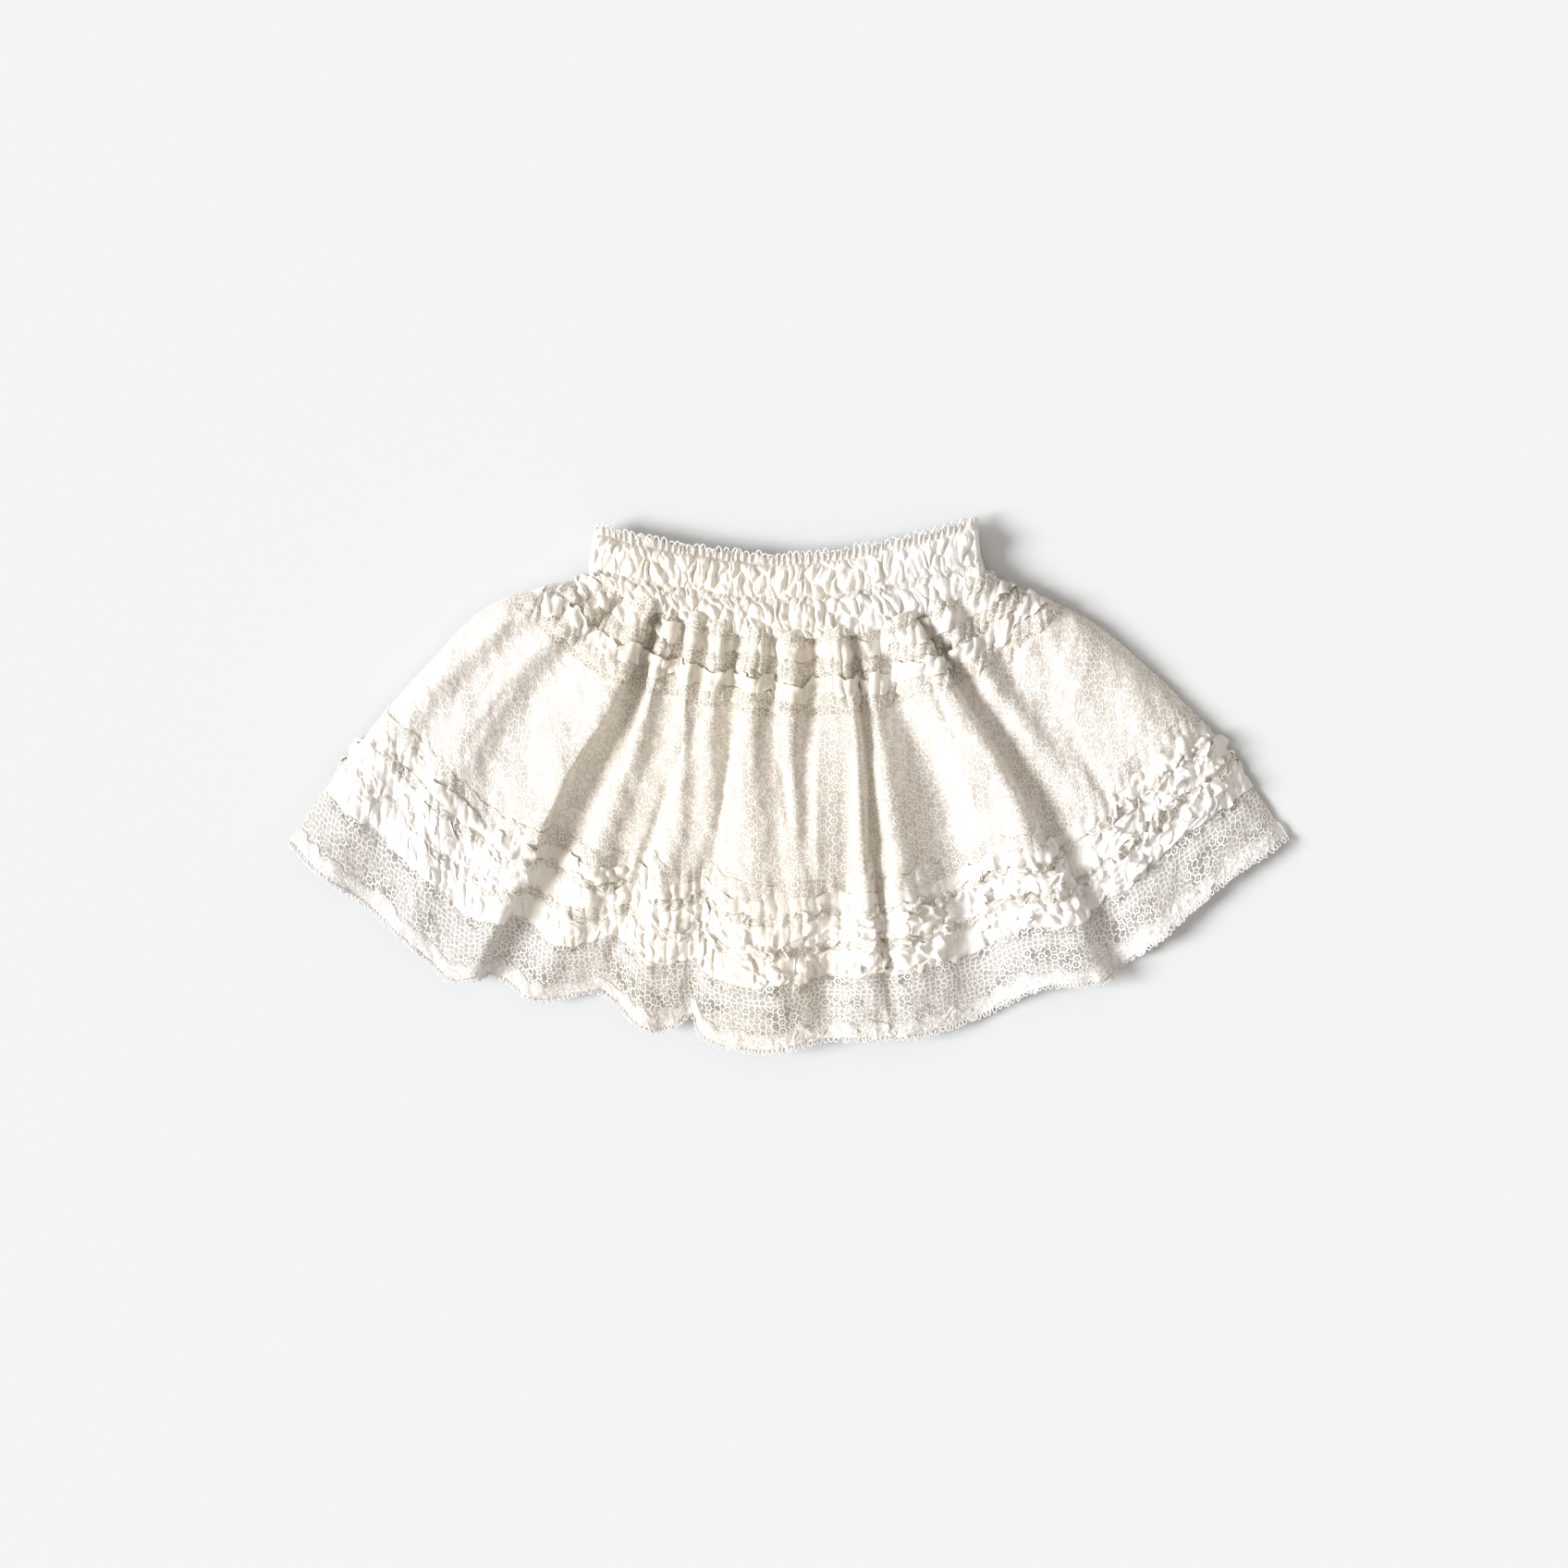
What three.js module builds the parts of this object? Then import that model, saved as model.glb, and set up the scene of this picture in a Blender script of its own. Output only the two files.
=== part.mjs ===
// A toddler's ivory lace skirt with a gathered elastic waist, laid flat on its back with the waist
// towards +Y and the hem towards -Y. Units are millimetres, +Z is up, and the origin is the middle of
// the skirt's outline, on the surface that it lies on.
//
// The cloth spreads from the waist like a fan. A fold line is a line of the cloth that runs from the
// waist seam to the hem, on top of a fold or along the bottom of a hollow. Each is one row of FOLDS.
import * as THREE from "three";

// The fan that the cloth spreads over: its centre lies above the waist
const FAN = { x: 6.5, y: 203.7 };
const SEAM_RADIUS = 128.5; // from the fan's centre to the waist seam, in the middle
const SEAM_RISE = { left: 15.5, right: 9.5 }; // how much further it lies at FAN_HALF_ANGLE
const FAN_HALF_ANGLE = 48;
const SKIRT_LENGTH = 207; // from the waist seam to the hem

// Cloth and seams
const WALL = 1.5; // the gathered lace of the front, as one wall
const SEAM_GAP = 0.3; // between pieces that are sewn together
const BACK_WALL = 1.5;
const BACK_INSET = 1.2; // how far the back lies inside the front's outline
const LOWEST = BACK_WALL + SEAM_GAP + WALL / 2; // the front's middle surface where it meets the back

// Where the fold lines' angles and heights are given, as shares of the length from seam to hem
const ANGLE_STATIONS = [0, 0.22, 0.45, 0.7, 1];
const HEIGHT_STATIONS = [0, 0.12, 0.5, 1];

// One row for each fold line, from the skirt's left side to its right. The angles are in degrees from
// the fan's middle, at ANGLE_STATIONS. The radius is from the fan's centre to the hem, and the heights
// are above the floor, at HEIGHT_STATIONS. steps is how many columns of the grid follow the line.
const FOLD_COLUMNS =
  "name steps angle0 angle1 angle2 angle3 angle4 hemRadius height0 height1 height2 height3";
const FOLDS = table(FOLD_COLUMNS, [
  ["side_left", 3, -47.2, -54.1, -52.9, -50.7, -48.1, 347, 6, 2.6, 2.6, 2.6],
  ["left_wing", 3, -44.6, -50.4, -50.2, -48.2, -43.8, 346.5, 12.5, 13, 12, 8],
  ["left_wing_hollow", 2, -42.6, -47, -47.6, -45.4, -39.6, 343, 10.5, 9.5, 8, 4.5],
  ["broad_left", 3, -41, -44, -43.2, -40.2, -35, 345.5, 14, 15, 15.5, 10],
  ["broad_left_dent", 2, -39.2, -40.6, -38.9, -36.1, -32.3, 347.5, 10, 9.5, 10.5, 9],
  ["big_left", 3, -36.5, -35.6, -33.8, -31.7, -30.2, 349, 16.5, 17, 16.5, 11.5],
  ["big_left_edge", 2, -33.8, -30.6, -30.4, -29.4, -28.9, 344, 19, 20, 19.5, 13],
  ["big_left_foot", 2, -32.8, -29.4, -29.5, -28.7, -27.9, 338, 10, 9, 6.5, 4.5],
  ["deep_left", 2, -31.4, -28, -27.3, -26.6, -25.8, 337, 8.5, 6, 4, 3.4],
  ["roll_1", 3, -29.2, -25.2, -24, -23.2, -23.4, 339.5, 18, 18, 16, 9],
  ["roll_1_edge", 2, -27.6, -23.4, -21.2, -20.6, -21.5, 334, 15, 14.5, 12, 7],
  ["crease_1", 3, -25.7, -21.6, -18.6, -18.2, -18.2, 324, 12.5, 13.5, 13, 6.5],
  ["roll_2", 2, -23.4, -19.2, -15.9, -15.4, -13.6, 335.5, 18, 18.5, 16.5, 11],
  ["crease_2", 2, -21.2, -17.6, -14, -13.8, -12.2, 334, 13.5, 15, 14.5, 10],
  ["roll_3", 2, -17.8, -15, -12.4, -12.3, -10.8, 329.5, 18, 18, 14.5, 8.5],
  ["deep_middle", 2, -14, -12, -10.4, -10.6, -9.7, 324, 10, 12, 12.5, 7],
  ["middle_edge", 2, -12, -10.4, -8.9, -9.2, -8.7, 333, 15.5, 16, 15, 9.5],
  ["middle", 3, -9.3, -8.1, -5.6, -4.6, -4, 338, 19, 20, 18.5, 13],
  ["middle_crease", 2, -5.6, -4.7, -2.9, -2, -1.4, 336.5, 12, 14, 15.5, 12.5],
  ["middle_right", 3, -2, -1.5, -0.6, -0.2, 0, 334.5, 18.5, 19, 17, 11.5],
  ["middle_hollow", 2, 2.4, 2.3, 1.9, 1.9, 2.4, 332, 10.5, 12.5, 13.5, 9],
  ["roll_4", 2, 7, 6.6, 5, 4.6, 4.6, 332.5, 18, 17.5, 16, 11.5],
  ["roll_4_edge", 2, 9.4, 9, 7.6, 7, 6.3, 333, 17, 18, 17.5, 11.5],
  ["deep_right", 2, 11.6, 10.3, 8.9, 8.1, 7.5, 333.5, 9, 8, 6, 9],
  ["roll_5", 2, 14, 12.6, 11.5, 10.4, 9.6, 335, 11, 13, 15.5, 10.5],
  ["right_hollow", 3, 17.6, 17, 17.6, 17.8, 17, 331.5, 9, 8, 5, 4.2],
  ["big_right", 4, 21, 21.4, 22.4, 22.6, 21.6, 328.5, 17.5, 17.5, 16.5, 11.5],
  ["big_right_edge", 2, 24.4, 26.2, 27, 27.1, 27, 338.5, 18, 19.5, 18.5, 13],
  ["long_valley", 3, 26.2, 27.9, 28.7, 28.8, 28.5, 335.5, 8.5, 6.5, 4.5, 3.4],
  ["right_roll", 3, 31, 31.9, 32.9, 33.6, 33, 334, 16.5, 16.5, 12.5, 10],
  ["right_dent", 3, 35.5, 35.4, 36.4, 37.2, 36.6, 331, 10, 9.5, 11, 8.5],
  ["right_wing", 3, 39.5, 41.5, 43, 42.3, 40.8, 330.5, 14.5, 15.5, 13.5, 9],
  ["right_shoulder", 2, 43, 48.1, 48.9, 47.8, 45.4, 335, 10.5, 11, 10, 6.5],
  ["side_right", 0, 44.2, 50.1, 50.6, 49.4, 46.9, 336, 6, 2.6, 2.6, 2.6],
]);

// The rows of the grid, as shares of the length from the waist seam to the hem. The ribbons and the
// hem edging start and end on rows, so that they are made from the panel's own points.
const ROWS = [
  0, 0.02, 0.065, 0.11, 0.155, 0.25, 0.37, 0.49, 0.61, 0.645, 0.675, 0.7, 0.725, 0.75, 0.785, 0.812,
  0.84, 0.9, 0.955, 1,
];

// What is sewn on the front panel. thick is the ribbon's own thickness, and ruffle is how far its
// gathers stand out, on every second column of the grid.
const RIBBONS = table("name look from to thick ruffle", [
  ["upper_ribbon_1", "ribbon", 0.02, 0.065, 1, 0.6],
  ["upper_ribbon_2", "ribbon", 0.11, 0.155, 1, 0.6],
  ["lower_frill", "lace", 0.61, 0.645, 1, 1],
  ["lower_ribbon", "ribbon", 0.645, 0.675, 1, 0.4],
  ["ruched_ribbon_1", "ribbon", 0.7, 0.75, 1.2, 2],
  ["ruched_ribbon_2", "ribbon", 0.785, 0.84, 1.2, 2],
  ["hem_edging", "lace", 0.955, 1, 1, 0],
]);
const RUFFLE_HEIGHTS = [3, 8]; // gathers are flat where the panel is lower, and full where higher

// The bands of the back, which lies flat under the front, as shares of its length
const BACK_BANDS = table("name from to", [
  ["back_upper_band", 0, 0.155],
  ["skirt_back", 0.155, 0.61],
  ["back_lower_band", 0.61, 0.84],
  ["back_hem_band", 0.84, 0.97],
]);

// The waist: a casing with the elastic in it, a frill below it and a lace heading above it, all in
// small gathers. Front and back lie on each other.
const WAIST = {
  middle: -1, // X of the middle of the top edge
  halfWidth: 96.5,
  flare: 5, // how much wider each side is at the seam
  topMiddle: 110.7, // Y of the casing's top edge, in the middle
  topRise: 17.5, // how much higher its ends lie
  topTilt: 1.5, // how much of that the right end has more, and the left end less
  casing: 18.5, // width of the casing
  heading: 4.5, // the lace that stands above it
  gathers: 36,
  gatherHeight: 3,
  backTop: 9,
  frontThick: 6,
  endDrop: 2, // how much lower the cloth lies at the two ends
  endRoom: 0.7, // extra room at the two ends of the seam, where the panels turn down steeply
  backInset: 1.5,
};
const FRONT_BASE = WAIST.backTop + SEAM_GAP; // height of the front casing's underside

const PALETTE = {
  lace: { color: 0xf3efe6, roughness: 0.85 },
  ribbon: { color: 0xf8f4ea, roughness: 0.6 },
  casing: { color: 0xf6f2e9, roughness: 0.75 },
};

// Makes rows with named columns out of plain lists
function table(names, rows) {
  const keys = names.split(" ");
  return rows.map((row) => Object.fromEntries(keys.map((key, i) => [key, row[i]])));
}

function smooth(from, to, x) {
  return THREE.MathUtils.smoothstep(x, from, to);
}

// The slope at the middle one of three points that are first and second apart
function slope(before, here, after, first, second) {
  const back = (here - before) / first;
  const ahead = (after - here) / second;
  return (back * second + ahead * first) / (first + second);
}

// A smooth curve through values at rising places
function through(places, values, at) {
  const last = places.length - 2;
  const found = places.findIndex((p, k) => k <= last && at <= places[k + 1]);
  const i = found < 0 ? last : found;
  const width = places[i + 1] - places[i];
  const chord = (values[i + 1] - values[i]) / width;
  const start =
    i === 0
      ? chord
      : slope(values[i - 1], values[i], values[i + 1], places[i] - places[i - 1], width);
  const end =
    i === last
      ? chord
      : slope(values[i], values[i + 1], values[i + 2], width, places[i + 2] - places[i + 1]);
  return hermite(values[i], values[i + 1], start * width, end * width, (at - places[i]) / width);
}

function hermite(a, b, slopeA, slopeB, t) {
  const t2 = t * t;
  const t3 = t2 * t;
  return (
    a * (2 * t3 - 3 * t2 + 1) + slopeA * (t3 - 2 * t2 + t) + b * (3 * t2 - 2 * t3) + slopeB * (t3 - t2)
  );
}

function seamRadius(angle) {
  const rise = angle < 0 ? SEAM_RISE.left : SEAM_RISE.right;
  return SEAM_RADIUS + rise * (angle / FAN_HALF_ANGLE) ** 2;
}

function fanPoint(angle, radius, height) {
  const a = THREE.MathUtils.degToRad(angle);
  return new THREE.Vector3(FAN.x + radius * Math.sin(a), FAN.y - radius * Math.cos(a), height);
}

// Where a fold line is at a share of the length: its angle, radius and height
function onFold(fold, share) {
  const angles = [fold.angle0, fold.angle1, fold.angle2, fold.angle3, fold.angle4];
  const heights = [fold.height0, fold.height1, fold.height2, fold.height3];
  const start = seamRadius(fold.angle0);
  return {
    angle: through(ANGLE_STATIONS, angles, share),
    radius: start + share * (fold.hemRadius - start),
    height: through(HEIGHT_STATIONS, heights, share),
  };
}

// The middle surface of the front at a fold line plus a part of the way to the next one. The cloth
// takes a smooth curve through the fold lines, measured along the arc and up.
function clothPoint(index, part, share) {
  const near = [-1, 0, 1, 2].map((k) => {
    const i = THREE.MathUtils.clamp(index + k, 0, FOLDS.length - 1);
    return onFold(FOLDS[i], share);
  });
  const arc = THREE.MathUtils.degToRad(near[1].radius);
  const spans = [0, 1, 2].map((k) =>
    Math.sqrt(
      Math.max(1, Math.hypot((near[k + 1].angle - near[k].angle) * arc, near[k + 1].height - near[k].height)),
    ),
  );
  const mixed = ["angle", "radius", "height"].map((key) => {
    const [p, a, b, q] = near.map((point) => point[key]);
    const atA = slope(p, a, b, spans[0], spans[1]) * spans[1];
    const atB = slope(a, b, q, spans[1], spans[2]) * spans[1];
    return hermite(a, b, atA, atB, part);
  });
  return fanPoint(mixed[0], mixed[1], Math.max(LOWEST, mixed[2]));
}

// The columns of the grid, each a fold line and a part of the way to the next
const COLUMNS = FOLDS.flatMap((fold, index) =>
  Array.from({ length: fold.steps }, (_, k) => ({ index, part: k / fold.steps })),
).concat({ index: FOLDS.length - 2, part: 1 });

const FRONT = ROWS.map((share) =>
  COLUMNS.map(({ index, part }) => clothPoint(index, part, share)),
);
const FRONT_NORMALS = normalsOf(FRONT);

function normalsOf(grid) {
  return grid.map((row, r) =>
    row.map((_, c) => {
      const across = row[Math.min(c + 1, row.length - 1)].clone().sub(row[Math.max(c - 1, 0)]);
      const down = grid[Math.min(r + 1, grid.length - 1)][c].clone().sub(grid[Math.max(r - 1, 0)][c]);
      return down.cross(across).normalize();
    }),
  );
}

// The panel's points moved out along its normals, for the rows from first to last. distance takes
// the share of the way between those rows and the column.
function moved(first, last, distance) {
  return FRONT.slice(first, last + 1).map((row, r) =>
    row.map((point, c) => {
      const far = distance(r / (last - first), c);
      return point.clone().addScaledVector(FRONT_NORMALS[first + r][c], far);
    }),
  );
}

// A closed solid between two grids of points of the same size, upper over lower. The rows run from
// +Y to -Y and the columns from -X to +X.
function solidBetween(upper, lower) {
  const rows = upper.length;
  const columns = upper[0].length;
  const positions = [];
  const face = (a, b, c, d) => {
    for (const p of [a, b, c, a, c, d]) positions.push(p.x, p.y, p.z);
  };
  for (let r = 0; r < rows - 1; r++) {
    for (let c = 0; c < columns - 1; c++) {
      face(upper[r][c], upper[r + 1][c], upper[r + 1][c + 1], upper[r][c + 1]);
      face(lower[r][c], lower[r][c + 1], lower[r + 1][c + 1], lower[r + 1][c]);
    }
    face(upper[r][0], lower[r][0], lower[r + 1][0], upper[r + 1][0]);
    const e = columns - 1;
    face(upper[r][e], upper[r + 1][e], lower[r + 1][e], lower[r][e]);
  }
  const last = rows - 1;
  for (let c = 0; c < columns - 1; c++) {
    face(upper[0][c], upper[0][c + 1], lower[0][c + 1], lower[0][c]);
    face(upper[last][c], lower[last][c], lower[last][c + 1], upper[last][c + 1]);
  }
  const geometry = new THREE.BufferGeometry();
  geometry.setAttribute("position", new THREE.Float32BufferAttribute(positions, 3));
  geometry.computeVertexNormals();
  return geometry;
}

function piece(name, geometry, look) {
  const material = new THREE.MeshStandardMaterial({ ...look, metalness: 0, side: THREE.DoubleSide });
  const mesh = new THREE.Mesh(geometry, material);
  mesh.name = name;
  return mesh;
}

// The front panel: one wall of gathered lace from the waist seam to the hem
function frontPanel() {
  const last = ROWS.length - 1;
  return piece(
    "skirt_front",
    solidBetween(moved(0, last, () => WALL / 2), moved(0, last, () => -WALL / 2)),
    PALETTE.lace,
  );
}

// A ribbon, frill or edging sewn over the front panel, a little short of its two rows, so that it
// doesn't touch the next one
function ribbon({ name, look, from, to, thick, ruffle }) {
  const under = WALL / 2 + SEAM_GAP;
  const first = ROWS.indexOf(from);
  const last = ROWS.indexOf(to);
  const gathered = (share, column) => {
    const room = smooth(...RUFFLE_HEIGHTS, FRONT[first][column].z);
    const bulge = Math.sin(Math.PI * (0.15 + 0.7 * share));
    return under + thick + (column % 2 ? ruffle * room * bulge : 0);
  };
  const inset = SEAM_GAP / 2 / ((to - from) * SKIRT_LENGTH) * (last - first);
  const shortened = (grid) => [
    grid[0].map((point, c) => point.clone().lerp(grid[1][c], inset)),
    ...grid.slice(1, -1),
    grid.at(-1).map((point, c) => point.clone().lerp(grid.at(-2)[c], inset)),
  ];
  const upper = shortened(moved(first, last, gathered));
  const lower = shortened(moved(first, last, () => under));
  return piece(name, solidBetween(upper, lower), PALETTE[look]);
}

// A band of the back, flat on the floor inside the front's outline
function backBand({ name, from, to }) {
  const shares = [from, (from + to) / 2, to];
  const grid = (height) =>
    shares.map((share, r) =>
      FOLDS.map((fold, c) => {
        const at = onFold(fold, share);
        const side = c === 0 ? 1 : c === FOLDS.length - 1 ? -1 : 0;
        const inset = THREE.MathUtils.radToDeg(BACK_INSET / at.radius);
        const gap = r === 0 ? SEAM_GAP : 0;
        return fanPoint(at.angle + side * inset, at.radius + gap, height);
      }),
    );
  return piece(name, solidBetween(grid(BACK_WALL), grid(0)), PALETTE.lace);
}

// The casing's top edge at a share of the waist's width, with its ends moved in by inset
function waistTop(share, inset) {
  const across = 2 * share - 1;
  const rise = WAIST.topRise * Math.abs(across) ** 1.6 + WAIST.topTilt * across;
  return new THREE.Vector2(
    WAIST.middle + (WAIST.halfWidth - inset) * across,
    WAIST.topMiddle + rise,
  );
}

// The casing's lower edge, where the frill starts
function waistFold(share, inset) {
  const top = waistTop(share, inset);
  const part = WAIST.casing / (WAIST.topMiddle - (FAN.y - SEAM_RADIUS));
  return new THREE.Vector2(top.x + (2 * share - 1) * WAIST.flare * part, top.y - WAIST.casing);
}

// The waist seam, where the gathered panels start
function waistSeam(share, inset) {
  const [first, last] = [FOLDS[0].angle0, FOLDS.at(-1).angle0];
  const angle = THREE.MathUtils.lerp(first, last, share);
  const across = 2 * share - 1;
  const at = fanPoint(angle, seamRadius(angle), 0);
  const room = SEAM_GAP + WAIST.endRoom * Math.abs(across) ** 3;
  return new THREE.Vector2(at.x - across * inset, at.y + room);
}

// A row of gathers between two edges in plan. Each profile row gives how far down it lies from the
// first edge to the second, and which part of the thickness and of the gathers' height it has.
function gatheredRow({ name, look, columns, edges, profile, base, thick, gather }) {
  const grid = (height) =>
    profile.map((row) =>
      Array.from({ length: columns + 1 }, (_, c) => {
        const share = c / columns;
        const at = edges[0](share, c).lerp(edges[1](share, c), row.down);
        return new THREE.Vector3(at.x, at.y, height(row, share, c));
      }),
    );
  const drop = (share) => WAIST.endDrop * smooth(0.7, 1, Math.abs(2 * share - 1));
  const under = (row, share) => (base ? base - drop(share) : 0);
  const over = (row, share, c) =>
    base + thick * row.thick + (c % 2 ? gather * row.gather : 0) - drop(share);
  return piece(name, solidBetween(grid(over), grid(under)), PALETTE[look]);
}

const PUFF = table("down thick gather", [
  [0, 0.5, 0.35],
  [0.3, 1, 1],
  [0.7, 1, 1],
  [1, 0.5, 0.35],
]);
const FRILL = table("down thick gather", [
  [0, 0.5, 0.35],
  [0.5, 0.9, 1],
  [1, 0.7, 0.8],
]);
const EDGING = table("down thick gather", [
  [0, 1, 0.6],
  [1, 1, 1],
]);

function waistPieces() {
  const columns = WAIST.gathers * 2;
  const { backInset, backTop, frontThick, gatherHeight, heading } = WAIST;
  const above = (edge, distance) => (share, column) => {
    const at = edge(share, column);
    at.y += distance(column);
    return at;
  };
  const frontTop = (share) => waistTop(share, 0);
  const frontFold = (share) => waistFold(share, 0);
  const backTopEdge = (share) => waistTop(share, backInset);
  const scallop = (column) => SEAM_GAP + heading * (column % 2 ? 1 : 0.65);
  const justAbove = () => SEAM_GAP;
  const justBelow = () => -SEAM_GAP;
  return [
    gatheredRow({
      name: "waist_casing_front",
      look: "casing",
      columns,
      edges: [frontTop, frontFold],
      profile: PUFF,
      base: FRONT_BASE,
      thick: frontThick,
      gather: gatherHeight,
    }),
    gatheredRow({
      name: "waist_frill_front",
      look: "casing",
      columns,
      edges: [above(frontFold, justBelow), (share) => waistSeam(share, 0)],
      profile: FRILL,
      base: FRONT_BASE,
      thick: frontThick,
      gather: gatherHeight,
    }),
    gatheredRow({
      name: "heading_front",
      look: "lace",
      columns,
      edges: [above(frontTop, scallop), above(frontTop, justAbove)],
      profile: EDGING,
      base: FRONT_BASE + 1,
      thick: 1.4,
      gather: 1,
    }),
    gatheredRow({
      name: "waist_back",
      look: "casing",
      columns: columns / 2,
      edges: [backTopEdge, (share) => waistSeam(share, backInset)],
      profile: table("down thick gather", [[0, 0.6, 0], [0.15, 1, 0], [0.85, 1, 0], [1, 0.6, 0]]),
      base: 0,
      thick: backTop,
      gather: 0,
    }),
    gatheredRow({
      name: "heading_back",
      look: "lace",
      columns: columns / 2,
      edges: [above(backTopEdge, () => SEAM_GAP + heading * 0.6), above(backTopEdge, justAbove)],
      profile: EDGING,
      base: backTop * 0.4,
      thick: 1.4,
      gather: 0,
    }),
  ];
}

const skirt = new THREE.Group();
skirt.add(frontPanel(), ...RIBBONS.map(ribbon), ...BACK_BANDS.map(backBand), ...waistPieces());

export default skirt;
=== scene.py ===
"""A toddler's ivory lace skirt, laid flat with its waist at the top and seen from straight above."""

import math

import bpy
import numpy as np
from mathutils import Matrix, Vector


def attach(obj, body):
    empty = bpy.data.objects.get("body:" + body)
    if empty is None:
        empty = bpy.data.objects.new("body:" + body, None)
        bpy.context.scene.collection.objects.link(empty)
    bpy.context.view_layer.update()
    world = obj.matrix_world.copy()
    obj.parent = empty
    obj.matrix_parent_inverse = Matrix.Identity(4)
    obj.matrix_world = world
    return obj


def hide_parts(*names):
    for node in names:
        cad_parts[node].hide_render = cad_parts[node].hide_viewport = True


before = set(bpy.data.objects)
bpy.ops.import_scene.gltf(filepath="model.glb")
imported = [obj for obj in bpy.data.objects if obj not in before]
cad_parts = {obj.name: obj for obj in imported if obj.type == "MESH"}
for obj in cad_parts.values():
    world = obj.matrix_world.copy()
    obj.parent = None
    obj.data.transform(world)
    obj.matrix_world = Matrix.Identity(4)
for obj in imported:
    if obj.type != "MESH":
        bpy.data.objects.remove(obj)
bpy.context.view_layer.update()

MM = 0.001

# The photograph's frame: its width on the skirt, and where its middle lies
PHOTO_WIDTH = 0.789
PHOTO_MIDDLE = (-0.0019, 0.0007)
CAMERA_HEIGHT = 2.0
CLOTH_HEIGHT = 0.01  # the height at which PHOTO_WIDTH holds
SENSOR_WIDTH = 36

# The light, the floor and what the floor reaches, in metres
SUN_STRENGTH = 4.5
SUN_SPREAD = 24  # the sun's width, which makes its shadows soft, in degrees
SUN_COLOUR = (0.985, 0.99, 1.0)
SUN_AZIMUTH, SUN_ELEVATION = 188, 33
SKY_COLOUR = (1.0, 0.92, 0.85, 1)
SKY_STRENGTH = 0.6
FLOOR_COLOUR = (0.657, 0.686, 0.704, 1)
FLOOR_HALF = 6.0

# The form of the front, in millimetres, with the names and values of the solid's source
FAN_X, FAN_Y = 6.5, 203.7
SEAM_RADIUS = 128.5
SEAM_RISE = (15.5, 9.5)  # left and right
FAN_HALF_ANGLE = 48
SKIRT_LENGTH = 207
BACK_WALL, FRONT_WALL = 1.5, 1.5
SEAM_GAP = 0.3
LOWEST = BACK_WALL + SEAM_GAP + FRONT_WALL / 2  # the least height of the front's middle
ANGLE_STATIONS = np.array([0, 0.22, 0.45, 0.7, 1])
HEIGHT_STATIONS = np.array([0, 0.12, 0.5, 1])

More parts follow.
